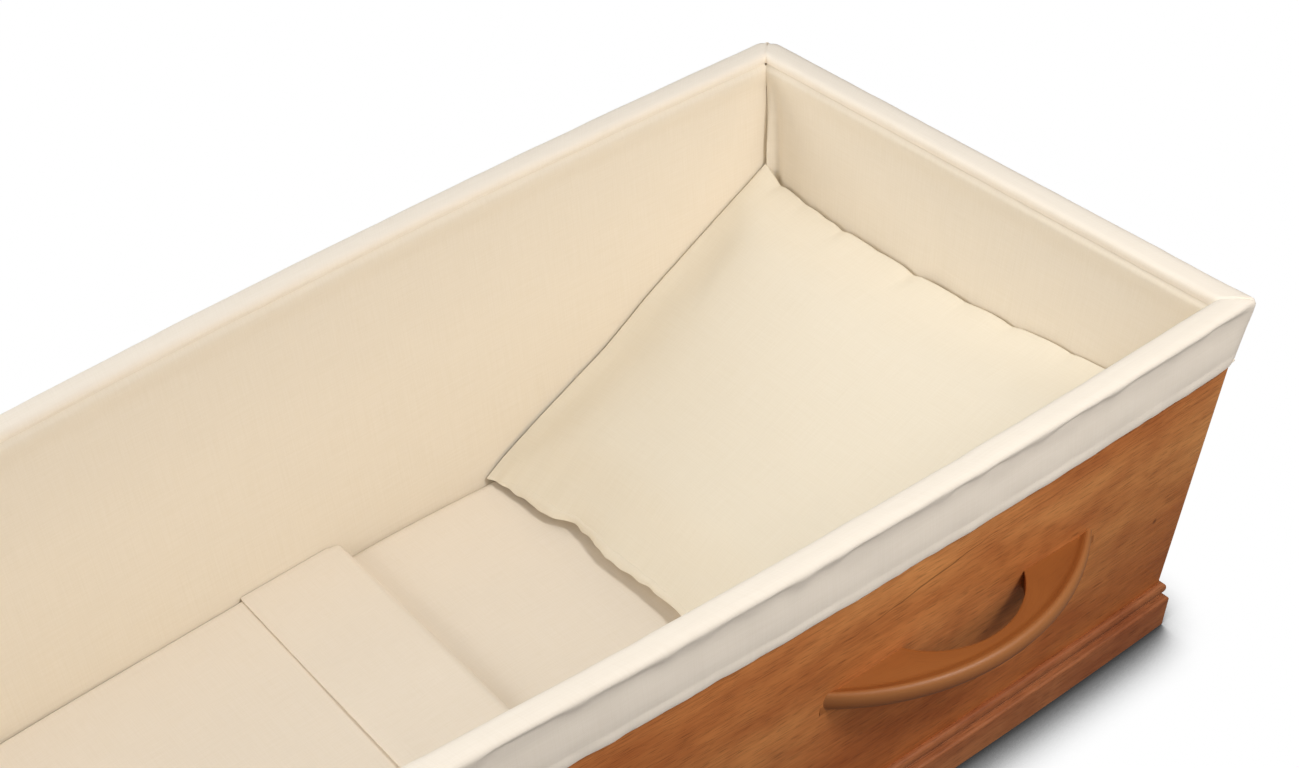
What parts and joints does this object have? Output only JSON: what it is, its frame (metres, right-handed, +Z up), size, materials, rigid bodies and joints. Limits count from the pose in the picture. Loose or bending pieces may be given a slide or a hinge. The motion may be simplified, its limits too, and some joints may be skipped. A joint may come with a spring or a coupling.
{
  "type": "wooden coffin",
  "caption": "Open wooden coffin, bowed and tapered, with half-moon side handles, a stepped plinth moulding, cotton lining, mattress, blanket and pillow; no lid.",
  "frame": {"origin": "midway between the ends and the sides, on the surface that the coffin stands on", "axes": "+X along the length towards the head end, +Z up; left is -Y, the left side of a person who lies in it face up"},
  "size_m": [2, 0.719, 0.392],
  "materials": {
    "panel_wood": "satin varnish over stained alder, straight grain along the length",
    "plinth_wood": "satin varnish, redder and a little darker than the panels",
    "handle_wood": "smooth satin varnish, paler on the rounded edge",
    "board_wood": "planed, unfinished softwood",
    "lining_cotton": "matt plain-weave unbleached cotton over wadding",
    "border_cotton": "matt plain-weave cream cotton strip, folded over the rim",
    "bedding_cotton": "matt plain-weave cream cotton, softly stuffed",
    "pillow_cotton": "matt plain-weave cream cotton pillow"
  },
  "bodies": {
    "root": {"bottom_board": "board_wood", "side_panel_left": "panel_wood", "side_panel_right": "panel_wood", "head_panel": "panel_wood", "foot_panel": "panel_wood", "plinth_left": "plinth_wood", "plinth_right": "plinth_wood", "plinth_head": "plinth_wood", "plinth_foot": "plinth_wood", "handle_left_head": "handle_wood", "handle_left_middle": "handle_wood", "handle_left_foot": "handle_wood", "handle_right_head": "handle_wood", "handle_right_middle": "handle_wood", "handle_right_foot": "handle_wood", "lining_left": "lining_cotton", "lining_right": "lining_cotton", "lining_head": "lining_cotton", "lining_foot": "lining_cotton", "rim_border": "border_cotton", "mattress": "bedding_cotton", "blanket": "bedding_cotton", "pillow": "pillow_cotton"}
  },
  "joints": []
}
